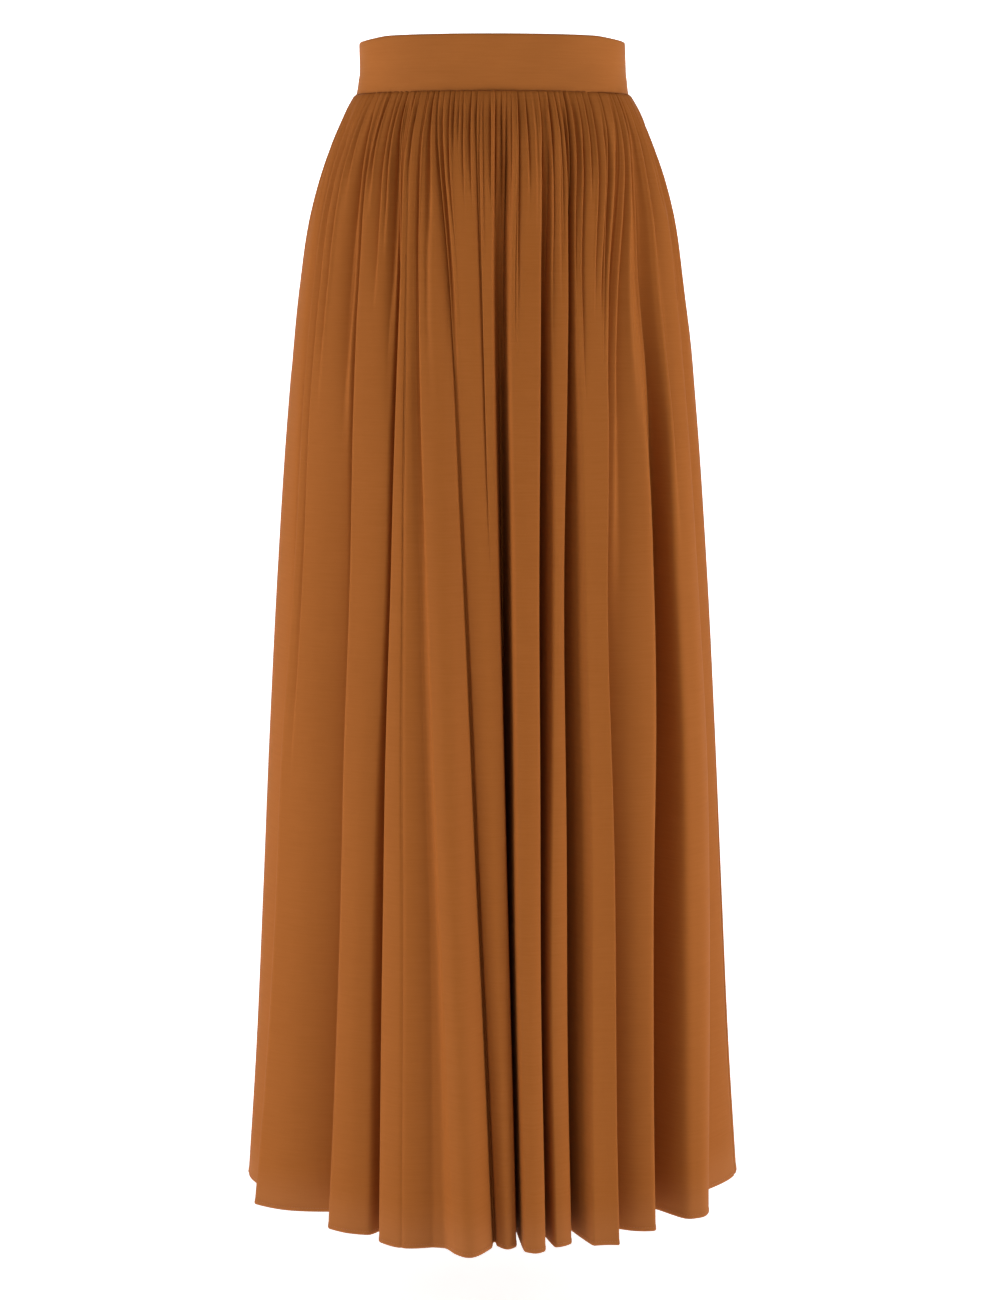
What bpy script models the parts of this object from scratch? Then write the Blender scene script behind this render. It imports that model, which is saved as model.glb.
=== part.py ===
"""A floor-length gathered skirt, as filled out by the figure that wears it.

The front faces -Y and +X is the viewer's right. The origin is the centre of the waistband's
hollow, half way up the band. Angles go round the skirt from the centre front: positive to the
viewer's right, 180 degrees at the centre back.
"""
import math
from bisect import bisect_right

import bmesh
import bpy
from mathutils import Vector

MM = 0.001

# Driving sizes, in mm
BAND_HEIGHT = 50.0
BAND_WALL = 2.6
CLOTH_WALL = 1.0
SKIRT_LENGTH = 1055.0
SEAM_GAP = 0.3
SLIT_HALF = 2.1          # least half width of the air in a deep fold, wall middle to middle
FLOOR_HALF = 2.3         # half width of the bottom of a deep fold

GATHERS = 78             # fine gathers round the waist seam
GATHERS_MERGED = 39      # the same gathers, joined in pairs below the hip
POINTS_PER_GATHER = 3.6
PLAIN_AT_ZIP = (7.0, 15.0)   # degrees from the centre back where the gathers start

ZIP_TOP = 21.0           # above the band's middle
TAPE_HALF_WIDTH = 11.0
TAPE_WALL = 1.2
TAPE_CLEAR = 0.35        # beyond the seam gap, because the walls' faces are flat

# The envelope that the folds' crowns reach, by distance below the waist seam
ENVELOPE = (
    # below, half width, front depth, back depth, squareness
    (0, 126.0, 88.5, 88.5, 2.3),
    (12, 133.5, 94.0, 95.0, 2.3),
    (30, 142.5, 100.0, 102.0, 2.3),
    (62, 156.0, 106.0, 112.0, 2.3),
    (99, 167.5, 110.0, 120.0, 2.25),
    (172, 180.0, 116.0, 130.0, 2.2),
    (284, 192.0, 124.0, 138.0, 2.2),
    (438, 204.5, 135.0, 147.0, 2.1),
    (596, 214.5, 147.0, 155.0, 2.1),
    (758, 223.5, 160.0, 164.0, 2.0),
    (925, 233.0, 175.0, 177.0, 2.0),
    (1055, 242.5, 190.0, 190.0, 2.0),
)

BAND_OUTLINE = (
    # height from the band's middle, half width, front and back depth
    (-25, 127.0, 89.5, 89.5),
    (-15, 124.0, 88.0, 88.0),
    (-5, 122.4, 87.2, 87.2),
    (10, 122.0, 87.0, 87.0),
    (25, 121.6, 86.8, 86.8),
)
BAND_SQUARENESS = 2.3

FOLD_LEVELS = (0, 150, 400, 750, 1055)   # mm below the waist seam

# One row for each big fold. Edges are angles at the fold levels; the crown's three stand-offs
# (left, middle, right) and the depth of the valley on its left are mm inside the envelope at
# the hem, and shrink to nothing at the waist.
FRONT_FOLDS = (
    # name, left edge, right edge, crown stand-offs, valley on the left
    ("side_left", (-97, -98, -98, -98, -98), (-75, -76, -75, -75, -75), (0, -8, 12), 62),
    ("a", (-70, -72, -71, -70.5, -71), (-56, -57, -56, -56, -57), (-14, 4, 40), 40),
    ("b", (-53, -53.2, -52, -51.2, -49.6), (-42, -41, -40, -41, -37.5), (8, 8, 16), 66),
    ("c_wide", (-41, -38.5, -38, -37.1, -33.4), (-34, -33, -28.5, -21.5, -17.5), (7, -2, 10), 62),
    ("c_ridge", (-32, -30.5, -25, -17, -10.5), (-28, -20, -13, -5, -0.3), (0, -12, 14), 10),
    ("d", (-26.4, -18.4, -11.4, -3.4, 1.3), (0, 0, 2.3, 6.1, 7.2), (18, 8, 16), 26),
    ("e", (11, 8.3, 8.4, 8.7, 8.8), (22.5, 21, 18.5, 16.5, 15), (5, -2, 4), 106),
    ("f", (29, 26, 24.3, 19.9, 18), (34, 32.5, 28.4, 26.1, 23.8), (9, 9, 14), 98),
    ("g", (39, 35.5, 34.6, 32.4, 28.4), (59, 48.5, 42, 39, 35), (3, 1, -5), 94),
    ("h", (61, 52, 45, 42, 38), (65, 58.5, 58.2, 52.9, 48.2), (44, 14, 4), 58),
    ("i", (68, 67.5, 66, 64, 58), (74, 75.5, 76, 75, 65.5), (4, -6, -2), 62),
    ("side_right", (79, 81, 81, 80, 75), (98, 98, 98, 98, 98), (24, -6, -4), 60),
)

# Valleys that lean: degrees that their floor lies to the right of its middle, at the fold levels
LEANING_VALLEYS = {"i": (0, 2, 7, 9, 7)}

BACK_FOLDS = (
    # name, left edge, right edge (waist and hem), crown stand-offs, valley on the left
    ("k", (101, 101), (111, 111), (10, -2, 12), 64),
    ("l", (113, 113), (123, 124), (14, 4, 4), 80),
    ("m", (127, 127.5), (141, 140), (4, -6, 10), 74),
    ("n", (144, 143.5), (153, 152), (20, 10, 16), 58),
    ("o", (157, 156), (168, 168), (8, -4, 6), 88),
    ("centre_back", (171, 171.5), (190, 189), (12, 2, 12), 70),
    ("p", (193, 192), (204, 205), (6, -6, 8), 82),
    ("q", (208, 208.5), (217, 217), (18, 8, 12), 66),
    ("r", (220, 220), (234, 233.5), (8, -6, 4), 84),
    ("s", (237, 236.5), (246, 245.5), (16, 6, 10), 60),
    ("t", (249, 248), (259, 259), (10, -2, 14), 76),
)

# Panels, in the order that they go round. Each ends on a named point of a fold: its valley
# floor, or a place on its crown.
PANELS = (
    # name, from fold, place, to fold, place
    ("skirt_front_left", "side_left", "middle", "c_wide", "middle"),
    ("skirt_front_centre", "c_wide", "middle", "g", "floor"),
    ("skirt_front_right", "g", "floor", "side_right", "middle"),
    ("skirt_back_right", "side_right", "middle", "centre_back", "middle"),
    ("skirt_back_left", "centre_back", "middle", "side_left", "middle"),
)
PLACES = ("floor", "floor_right", "wall_left", "left", "middle", "right", "wall_right")
STEPS_AFTER = {"floor": 2, "floor_right": 1, "wall_left": 1, "left": 2, "middle": 2, "right": 1,
               "wall_right": 1}

GATHERED_ROWS = (0.0, 12.0, 30.0, 60.0, 100.0)
FOLDED_ROWS = (150.0, 215.0, 300.0, 420.0, 560.0, 720.0, 890.0, SKIRT_LENGTH)

GATHER_SIZE = (
    # below the waist seam, reach of the fine gathers, reach of the merged ones
    (0, 1.1, 0.0),
    (12, 2.0, 0.6),
    (30, 2.4, 1.4),
    (60, 1.9, 2.4),
    (100, 0.8, 2.9),
    (150, 0.0, 2.6),
    (215, 0.0, 0.0),
)

BAND_PIECES = (
    # name, first and last angle
    ("waistband_front", -90.0, 90.0),
    ("waistband_back_right", 90.0, 180.0),
    ("waistband_back_left", 180.0, 270.0),
)
BAND_STEP = 6.0
BAND_EDGE = 1.2          # how far the rounded top edge turns in

SLIDER_Z = 12.0          # the pull's pivot above the band's middle
SLIDER_HEIGHT = 9.0
SLIDER_WIDTH = 5.6
SLIDER_PLATE = 1.2
SLIDER_BEVEL = 0.5
EAR_WALL = 1.1
EAR_RADIUS = 1.7
EAR_LOW = -3.2           # the foot of an ear on the plate, below and above the pivot
EAR_HIGH = 2.6
EAR_SINK = 0.2           # how far an ear goes into the plate, so that the two join
PIN_INSET = 0.3          # how far the pin's ends stay inside the ears
PIN_RADIUS = 0.6
PIN_STAND = 2.9          # pivot's distance out from the slider's back face
EYE_RADIUS = 1.5
EYE_HOLE = 0.85
TAB_WIDTH = 6.0
TAB_NECK = 2.6
TAB_LENGTH = 22.0
TAB_WALL = 1.0
TAB_OUTLINE = (
    # share of the drop's length below the eye, share of the tab's width
    (0.16, 0.43),
    (0.45, 0.8),
    (0.72, 1.0),
    (0.9, 0.8),
    (1.0, 0.36),
)

CLOTH_COLOUR = (0.34, 0.122, 0.036)
METAL_COLOUR = (0.62, 0.45, 0.24)


def table_value(table, key, column):
    """A column of a table, read between its rows."""
    keys = [row[0] for row in table]
    at = min(max(bisect_right(keys, key) - 1, 0), len(keys) - 2)
    part = min(max((key - keys[at]) / (keys[at + 1] - keys[at]), 0.0), 1.0)
    return table[at][column] * (1 - part) + table[at + 1][column] * part


def oval_radius(angle, half_width, depth, squareness):
    """Radius of a squarish oval at an angle from the front, in degrees."""
    side = abs(math.sin(math.radians(angle))) / half_width
    front = abs(math.cos(math.radians(angle))) / depth
    return (side ** squareness + front ** squareness) ** (-1 / squareness)


def envelope_radius(angle, below):
    depth_column = 2 if math.cos(math.radians(angle)) > 0 else 3
    return oval_radius(angle, table_value(ENVELOPE, below, 1),
                       table_value(ENVELOPE, below, depth_column),
                       table_value(ENVELOPE, below, 4))


def band_radius(angle, height):
    depth_column = 2 if math.cos(math.radians(angle)) > 0 else 3
    return oval_radius(angle, table_value(BAND_OUTLINE, height, 1),
                       table_value(BAND_OUTLINE, height, depth_column), BAND_SQUARENESS)


def at_level(values, below):
    """An angle that is given at the fold levels, read between them."""
    rows = [(level, value) for level, value in zip(FOLD_LEVELS, values)]
    return table_value(rows, below, 1)


def all_folds():
    """Every big fold in order round the skirt, with edges at all the fold levels."""
    folds = list(FRONT_FOLDS)
    for name, left, right, crown, valley in BACK_FOLDS:
        shares = [level / SKIRT_LENGTH for level in FOLD_LEVELS]
        edges = [tuple(edge[0] * (1 - s) + edge[1] * s for s in shares) for edge in (left, right)]
        folds.append((name, edges[0], edges[1], crown, valley))
    return folds


FOLDS = all_folds()
FOLD_INDEX = {fold[0]: i for i, fold in enumerate(FOLDS)}


WALL_SHARE = 0.72        # a valley's opening half way down its walls, as a share of its mouth


def control_points(below):
    """The section's control points, one tuple (angle, radius) for each place of each fold."""
    grown = below / SKIRT_LENGTH
    points = []
    for i, (name, left, right, crown, valley) in enumerate(FOLDS):
        before, after = FOLDS[i - 1], FOLDS[(i + 1) % len(FOLDS)]
        edge_before = at_level(before[2], below) - (360.0 if i == 0 else 0.0)
        edge_left = at_level(left, below)
        edge_right = at_level(right, below)
        edge_after = at_level(after[1], below) + (360.0 if i == len(FOLDS) - 1 else 0.0)

        floor_angle = (edge_before + edge_left) / 2
        floor_radius = envelope_radius(floor_angle, below) - valley * grown
        middle = (edge_left + edge_right) / 2
        radii = [envelope_radius(angle, below) - stand * grown
                 for angle, stand in zip((edge_left, middle, edge_right), crown)]

        half_left = max((edge_left - edge_before) / 2, math.degrees(SLIT_HALF / radii[0]))
        edge_left = floor_angle + half_left
        next_floor = (edge_right + edge_after) / 2
        half_right = max((edge_after - edge_right) / 2, math.degrees(SLIT_HALF / radii[2]))
        edge_right = next_floor - half_right
        next_radius = envelope_radius(next_floor, below) - after[4] * grown

        floor_half = min(math.degrees(FLOOR_HALF / floor_radius), half_left * 0.8)
        wall_left = (radii[0] + floor_radius) / 2
        wall_right = (radii[2] + next_radius) / 2
        left_share = wall_half(half_left, radii[0], wall_left)
        right_share = wall_half(half_right, radii[2], wall_right)
        lean = valley_lean(name, below)
        next_lean = valley_lean(after[0], below)
        points += [
            (floor_angle + lean - floor_half, floor_radius),
            (floor_angle + lean + floor_half, floor_radius),
            (floor_angle + lean / 2 + left_share, wall_left),
            (edge_left, radii[0]),
            ((edge_left + edge_right) / 2, radii[1]),
            (edge_right, radii[2]),
            (next_floor + next_lean / 2 - right_share, wall_right),
        ]
    return points


def valley_lean(name, below):
    """How far the floor of the valley on a fold's left lies to the right of its middle."""
    return at_level(LEANING_VALLEYS[name], below) if name in LEANING_VALLEYS else 0.0


def wall_half(half, radius, wall_radius):
    """Half a valley's opening at its wall, in degrees: narrower inside, but never shut."""
    least = math.degrees(SLIT_HALF / wall_radius)
    return max(half * WALL_SHARE, min(least, half * radius / wall_radius))


def flat_point(angle, radius):
    return Vector((radius * math.sin(math.radians(angle)), -radius * math.cos(math.radians(angle))))


def section_point(controls, place):
    """The uniform cubic B-spline through the control points, at a place counted in them."""
    count = len(controls)
    first = math.floor(place)
    t = place - first
    weights = ((1 - t) ** 3 / 6, (3 * t ** 3 - 6 * t ** 2 + 4) / 6,
               (-3 * t ** 3 + 3 * t ** 2 + 3 * t + 1) / 6, t ** 3 / 6)
    point = Vector((0.0, 0.0))
    for k, weight in enumerate(weights):
        point += weight * controls[(first - 1 + k) % count]
    return point


def place_of(fold, place):
    return FOLD_INDEX[fold] * len(PLACES) + PLACES.index(place)


WAIST_ANGLES = [angle for angle, _ in control_points(0.0)]


def waist_angle(place):
    """The angle at the waist seam of a place that is counted in control points."""
    count = len(WAIST_ANGLES)
    turns, rest = divmod(place, count)
    first = math.floor(rest)
    after = WAIST_ANGLES[first + 1] if first + 1 < count else WAIST_ANGLES[0] + 360.0
    return WAIST_ANGLES[first] + (after - WAIST_ANGLES[first]) * (rest - first) + 360.0 * turns


def place_at_waist(angle):
    """The reverse of waist_angle, by halving."""
    low, high = 0.0, 2.0 * len(WAIST_ANGLES)
    for _ in range(40):
        middle = (low + high) / 2
        if waist_angle(middle) < angle:
            low = middle
        else:
            high = middle
    return low


def gather_reach(angle, below):
    """How far the gathers move the wall out, at a waist angle."""
    turn = math.radians(angle)
    drift = 0.9 * math.sin(3 * turn + 0.4) + 0.6 * math.sin(7 * turn + 1.9)
    fine = math.cos(GATHERS * turn + drift)
    merged = math.cos(GATHERS_MERGED * turn + drift / 2 + 0.6)
    from_back = abs((angle % 360.0) - 180.0)
    start, full = PLAIN_AT_ZIP
    share = min(max((from_back - start) / (full - start), 0.0), 1.0)
    return share * (table_value(GATHER_SIZE, below, 1) * fine
                    + table_value(GATHER_SIZE, below, 2) * merged)


def offset_line(points, distance, ends=(None, None)):
    """A line of points moved out by a distance, across the line, with its corners kept sharp.

    The ends may be given directions of their own, so that two panels meet face to face.
    """
    moved = []
    last = len(points) - 1
    for i, point in enumerate(points):
        before = (point - points[i - 1]).normalized() if i else ends[0]
        after = (points[i + 1] - point).normalized() if i < last else ends[1]
        if i in (0, last):
            before = after = (ends[0] if i == 0 else ends[1]) or before or after
        along = (before + after).normalized()
        out = Vector((along.y, -along.x))
        open_share = max(along.dot(after), 0.55)
        moved.append(point + out * (distance / open_share))
    return moved


def wall_point(controls, place, below):
    """The middle of the wall at a place: the folds, with the gathers on them."""
    point = section_point(controls, place)
    return point + point.normalized() * gather_reach(waist_angle(place), below)


def panel_row(below, places):
    """The wall's middle line on one level, and its directions at the two seams.

    The seam gap is taken off both ends.
    """
    controls = [flat_point(angle, radius) for angle, radius in control_points(below)]
    line = [wall_point(controls, place, below) for place in places]
    ends = []
    for place in (places[0], places[-1]):
        ends.append((wall_point(controls, place + 0.05, below)
                     - wall_point(controls, place - 0.05, below)).normalized())
    line[0] = line[0] + ends[0] * (SEAM_GAP / 2)
    line[-1] = line[-1] - ends[1] * (SEAM_GAP / 2)
    return line, ends


def panel_places(start, end, below):
    """Where a panel's row has its points: even gathers above, each fold's corners below."""
    if below < FOLDED_ROWS[0]:
        first, last = waist_angle(start), waist_angle(end)
        count = round((last - first) / 360.0 * GATHERS * POINTS_PER_GATHER)
        inner = [place_at_waist(first + (last - first) * i / count) for i in range(1, count)]
        return [start] + inner + [end]
    places = []
    for place in range(start, end):
        steps = STEPS_AFTER[PLACES[place % len(PLACES)]]
        places += [place + i / steps for i in range(steps)]
    return places + [end]


def join_rows(mesh, upper, upper_places, lower, lower_places, outside):
    """Triangles between two rows of points that need not have the same count."""
    i = j = 0
    while i < len(upper) - 1 or j < len(lower) - 1:
        step_upper = j == len(lower) - 1
        if not step_upper and i < len(upper) - 1:
            step_upper = upper_places[i + 1] <= lower_places[j + 1]
        corner = upper[i + 1] if step_upper else lower[j + 1]
        face = (upper[i], lower[j], corner)
        mesh.faces.new(face if outside else face[::-1])
        if step_upper:
            i += 1
        else:
            j += 1


def close_edge(mesh, outer, inner, reverse):
    """The narrow face between the outer and the inner points along one edge of a wall."""
    for k in range(len(outer) - 1):
        face = (outer[k], outer[k + 1], inner[k + 1], inner[k])
        mesh.faces.new(face[::-1] if reverse else face)


def wall_mesh(rows):
    """A closed wall from rows (height, places, outer line, inner line), top row first."""
    mesh = bmesh.new()
    made = []
    for height, places, outer, inner in rows:
        made.append((places, [mesh.verts.new((p.x * MM, p.y * MM, height * MM)) for p in outer],
                     [mesh.verts.new((p.x * MM, p.y * MM, height * MM)) for p in inner]))
    for (places, outer, inner), (low_places, low_outer, low_inner) in zip(made, made[1:]):
        join_rows(mesh, outer, places, low_outer, low_places, True)
        join_rows(mesh, inner, places, low_inner, low_places, False)
    close_edge(mesh, made[0][1], made[0][2], False)
    close_edge(mesh, made[-1][1], made[-1][2], True)
    for column, reverse in ((0, True), (-1, False)):
        close_edge(mesh, [row[1][column] for row in made], [row[2][column] for row in made],
                   reverse)
    bmesh.ops.recalc_face_normals(mesh, faces=mesh.faces)
    return mesh


def make_material(name, colour, roughness, metallic=0.0):
    material = bpy.data.materials.new(name)
    material.use_nodes = True
    shader = material.node_tree.nodes["Principled BSDF"]
    shader.inputs["Base Color"].default_value = (*colour, 1.0)
    shader.inputs["Roughness"].default_value = roughness
    shader.inputs["Metallic"].default_value = metallic
    material.diffuse_color = (*colour, 1.0)
    return material


def add_object(name, mesh, material, parent=None, at=(0.0, 0.0, 0.0)):
    data = bpy.data.meshes.new(name)
    mesh.to_mesh(data)
    mesh.free()
    data.materials.append(material)
    data.shade_smooth()
    data.set_sharp_from_angle(angle=math.radians(50))
    added = bpy.data.objects.new(name, data)
    added.location = at
    bpy.context.collection.objects.link(added)
    added.parent = parent
    return added


def make_panel(name, start, end, material, parent):
    """One cut panel of the skirt, gathered at its top edge."""
    rows = []
    for below in GATHERED_ROWS + FOLDED_ROWS:
        places = panel_places(start, end, below)
        line, ends = panel_row(below, places)
        height = -BAND_HEIGHT / 2 - SEAM_GAP - below
        rows.append((height, places, offset_line(line, CLOTH_WALL / 2, ends),
                     offset_line(line, -CLOTH_WALL / 2, ends)))
    add_object(name, wall_mesh(rows), material, parent)


def make_band_piece(name, first, last, material, parent):
    """A stretch of the waistband: a firm folded strip with a rounded top edge."""
    half = BAND_HEIGHT / 2
    levels = (
        # height, the outer and the inner face's distance inside the band's outline
        (half, BAND_EDGE, BAND_WALL - 0.6),
        (half - 0.6, 0.4, BAND_WALL - 0.1),
        (half - 2.0, 0.0, BAND_WALL),
        (10.0, 0.0, BAND_WALL),
        (-5.0, 0.0, BAND_WALL),
        (-15.0, 0.0, BAND_WALL),
        (-half, 0.0, BAND_WALL),
    )
    count = round((last - first) / BAND_STEP)
    angles = [first + (last - first) * i / count for i in range(count + 1)]
    gap = math.degrees(SEAM_GAP / 2 / band_radius(first, 0.0))
    gap_last = math.degrees(SEAM_GAP / 2 / band_radius(last, 0.0))
    angles[0] += gap
    angles[-1] -= gap_last
    rows = []
    for height, outer_in, inner_in in levels:
        line = [flat_point(angle, band_radius(angle, height)) for angle in angles]
        rows.append((height, angles, offset_line(line, -outer_in), offset_line(line, -inner_in)))
    add_object(name, wall_mesh(rows), material, parent)


def panel_lines(below):
    """The middle lines of the two back panels on one level, joined at the centre back."""
    joined = []
    for _, from_fold, from_place, to_fold, to_place in PANELS[-2:]:
        start, end = place_of(from_fold, from_place), place_of(to_fold, to_place)
        end += len(FOLDS) * len(PLACES) if end < start else 0
        joined += panel_row(below, panel_places(start, end, below))[0]
    return joined


def depth_across(line, x):
    """How far back a line lies at a given x, near the centre back."""
    for near, far in zip(line, line[1:]):
        if far.x <= x <= near.x and near.y > 0 and abs(near.x - far.x) > 1e-6:
            return near.y + (far.y - near.y) * (near.x - x) / (near.x - far.x)
    raise ValueError("the line doesn't cross this x")


def make_zip_tape(material, parent):
    """The concealed zip's tape, against the inside of the centre back seam."""
    across = [1.0, 0.5, 0.0, -0.5, -1.0]
    rows = []
    for height in (ZIP_TOP, 0.0, -BAND_HEIGHT / 2):
        depth = band_radius(180.0, height) - BAND_WALL - SEAM_GAP - TAPE_CLEAR
        line = []
        for part in across:
            x = part * TAPE_HALF_WIDTH
            line.append(Vector((x, depth - x * x / (2 * depth))))
        rows.append((height, across[::-1], line, offset_line(line, -TAPE_WALL)))
    for below in GATHERED_ROWS[1:]:
        wall = panel_lines(below)
        inner = CLOTH_WALL / 2 + SEAM_GAP + TAPE_CLEAR
        line = [Vector((part * TAPE_HALF_WIDTH, depth_across(wall, part * TAPE_HALF_WIDTH) - inner))
                for part in across]
        height = -BAND_HEIGHT / 2 - SEAM_GAP - below
        rows.append((height, across[::-1], line, offset_line(line, -TAPE_WALL)))
    add_object("zip_tape", wall_mesh(rows), material, parent)


def add_prism(mesh, outline, low_x, high_x):
    """A solid between two x planes from an outline of (y, z) points, in mm."""
    ends = []
    for x in (low_x, high_x):
        ends.append([mesh.verts.new((x * MM, y * MM, z * MM)) for y, z in outline])
    count = len(outline)
    mesh.faces.new(ends[0][::-1])
    mesh.faces.new(ends[1])
    for k in range(count):
        after = (k + 1) % count
        mesh.faces.new((ends[0][k], ends[0][after], ends[1][after], ends[1][k]))


def arc(centre, radius, first, last, steps):
    """Points on an arc in the (y, z) plane; angles in degrees from +Y towards +Z."""
    points = []
    for i in range(steps + 1):
        turn = math.radians(first + (last - first) * i / steps)
        points.append((centre[0] + radius * math.cos(turn), centre[1] + radius * math.sin(turn)))
    return points


def ear_outline():
    """A slider's ear: a plate edge on the band and a round end about the pin."""
    foot = -PIN_STAND + SLIDER_PLATE
    return [(foot, EAR_LOW)] + arc((0.0, 0.0), EAR_RADIUS, -60.0, 90.0, 6) + [(foot, EAR_HIGH)]


def make_slider(material, parent, at):
    """The zip's slider: a plate against the band, two ears and the pin between them."""
    mesh = bmesh.new()
    half_width, half_height = SLIDER_WIDTH / 2, SLIDER_HEIGHT / 2
    back, face = -PIN_STAND, -PIN_STAND + SLIDER_PLATE
    inner = half_width - EAR_WALL
    outline = [(back, -half_height), (face, -half_height + SLIDER_BEVEL), (face, EAR_LOW),
               (face, EAR_HIGH), (face, half_height - SLIDER_BEVEL), (back, half_height)]
    pin = arc((0.0, 0.0), PIN_RADIUS, 0.0, 315.0, 7)
    ear = ear_outline()
    xs = (-half_width, -inner, inner, half_width)
    add_prism(mesh, outline, -half_width, half_width)
    plate = add_object("zip_slider", mesh, material, parent, at)
    for k, (shape, low, high) in enumerate(((ear, xs[0], xs[1]), (ear, xs[2], xs[3]),
                                            (pin, xs[0] + PIN_INSET, xs[3] - PIN_INSET))):
        piece = bmesh.new()
        grown = [(y - EAR_SINK, z) if shape is ear and y < face + 0.01 else (y, z) for y, z in shape]
        add_prism(piece, grown, low, high)
        bmesh.ops.recalc_face_normals(piece, faces=piece.faces)
        cutter = add_object(f"slider_piece_{k}", piece, material, None, at)
        cutter.hide_render = True
        cutter.display_type = "WIRE"
        union = plate.modifiers.new(f"join_{k}", "BOOLEAN")
        union.operation = "UNION"
        union.object = cutter
    return plate


def make_pull(material, parent):
    """The pull tab: an eye round the pin and a drop-shaped plate that hangs from it."""
    mesh = bmesh.new()
    half_wall = TAB_WALL / 2
    half_neck = TAB_NECK / 2
    eye = arc((0.0, 0.0), EYE_RADIUS, -70.0, 250.0, 14)
    hole = arc((0.0, 0.0), EYE_HOLE, -70.0, 250.0, 14)
    sides = []
    for x in (-half_neck, half_neck):
        outer = [mesh.verts.new((x * MM, y * MM, z * MM)) for y, z in eye]
        inner = [mesh.verts.new((x * MM, y * MM, z * MM)) for y, z in hole]
        sides.append((outer, inner))
    last = len(eye) - 1
    for k in range(last):
        (outer, inner), (far_outer, far_inner) = sides
        mesh.faces.new((outer[k], outer[k + 1], inner[k + 1], inner[k]))
        mesh.faces.new((far_outer[k], far_inner[k], far_inner[k + 1], far_outer[k + 1]))
        mesh.faces.new((outer[k], far_outer[k], far_outer[k + 1], outer[k + 1]))
        mesh.faces.new((inner[k], inner[k + 1], far_inner[k + 1], far_inner[k]))
    # the foot of the eye closes its hole, and the drop goes on from its two outer points
    (outer, inner), (far_outer, far_inner) = sides
    mesh.faces.new((inner[0], inner[last], far_inner[last], far_inner[0]))
    mesh.faces.new((outer[0], inner[0], inner[last], outer[last]))
    mesh.faces.new((far_outer[0], far_outer[last], far_inner[last], far_inner[0]))
    left, right = (outer[last], far_outer[last]), (outer[0], far_outer[0])
    for share, width_share in TAB_OUTLINE:
        z = -EYE_RADIUS - (TAB_LENGTH - EYE_RADIUS) * share
        half_tab = TAB_WIDTH * width_share / 2
        row = [[mesh.verts.new((x * MM, y * MM, z * MM)) for x in (-half_tab, half_tab)]
               for y in (-half_wall, half_wall)]
        mesh.faces.new((left[0], left[1], row[0][1], row[0][0]))
        mesh.faces.new((right[0], row[1][0], row[1][1], right[1]))
        mesh.faces.new((left[0], row[0][0], row[1][0], right[0]))
        mesh.faces.new((left[1], right[1], row[1][1], row[0][1]))
        left, right = row
    mesh.faces.new((left[0], left[1], right[1], right[0]))
    bmesh.ops.recalc_face_normals(mesh, faces=mesh.faces)
    return add_object("zip_pull", mesh, material, parent)


def main():
    for old in list(bpy.data.objects):
        bpy.data.objects.remove(old, do_unlink=True)
    cloth = make_material("cloth", CLOTH_COLOUR, 0.72)
    tape = make_material("tape", CLOTH_COLOUR, 0.85)
    metal = make_material("metal", METAL_COLOUR, 0.35, 1.0)
    skirt = bpy.data.objects.new("skirt", None)
    bpy.context.collection.objects.link(skirt)

    for name, first, last in BAND_PIECES:
        make_band_piece(name, first, last, cloth, skirt)
    round_count = len(FOLDS) * len(PLACES)
    for name, from_fold, from_place, to_fold, to_place in PANELS:
        start, end = place_of(from_fold, from_place), place_of(to_fold, to_place)
        if end < start:
            end += round_count
        make_panel(name, start, end, cloth, skirt)
    make_zip_tape(tape, skirt)

    surface = band_radius(180.0, SLIDER_Z)
    pivot = bpy.data.objects.new("zip_pull_pivot", None)
    pivot.location = (0.0, (surface + SEAM_GAP + PIN_STAND) * MM, SLIDER_Z * MM)
    pivot.parent = skirt
    bpy.context.collection.objects.link(pivot)
    make_slider(metal, skirt, tuple(pivot.location))
    make_pull(metal, pivot)


main()
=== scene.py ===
"""The looks of a floor-length gathered skirt, filled out as it is worn.

The cloth panels, waistband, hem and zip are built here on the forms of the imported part. Sizes are
in mm unless a name says otherwise, angles in degrees round the skirt from the centre front,
positive to the viewer's right, and "below" is the distance below the waist seam.
"""
import math

import bpy
import numpy as np
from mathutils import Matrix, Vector


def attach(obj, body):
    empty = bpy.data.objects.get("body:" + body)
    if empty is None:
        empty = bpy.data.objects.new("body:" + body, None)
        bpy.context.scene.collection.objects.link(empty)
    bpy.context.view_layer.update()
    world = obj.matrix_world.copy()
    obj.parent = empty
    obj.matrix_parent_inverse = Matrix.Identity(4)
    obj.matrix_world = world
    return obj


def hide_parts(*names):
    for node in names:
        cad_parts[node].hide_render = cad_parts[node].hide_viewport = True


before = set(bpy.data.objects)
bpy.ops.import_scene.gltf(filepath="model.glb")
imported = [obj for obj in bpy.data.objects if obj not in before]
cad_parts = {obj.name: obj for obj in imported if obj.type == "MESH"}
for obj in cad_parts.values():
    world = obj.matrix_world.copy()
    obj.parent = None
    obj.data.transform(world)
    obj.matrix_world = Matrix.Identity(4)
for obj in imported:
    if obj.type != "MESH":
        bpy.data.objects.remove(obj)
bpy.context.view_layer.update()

MM = 0.001

# ------------------------------------------------------------------ sizes shared with the part
BAND_HEIGHT = 50.0
BAND_WALL = 2.6
SKIRT_LENGTH = 1055.0
SEAM_GAP = 0.3
SLIT_HALF = 2.1          # half the least opening between two folds
FLOOR_HALF = 2.3         # half the width of a valley's floor, and at most FLOOR_SHARE of the gap
FLOOR_SHARE = 0.8

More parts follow.
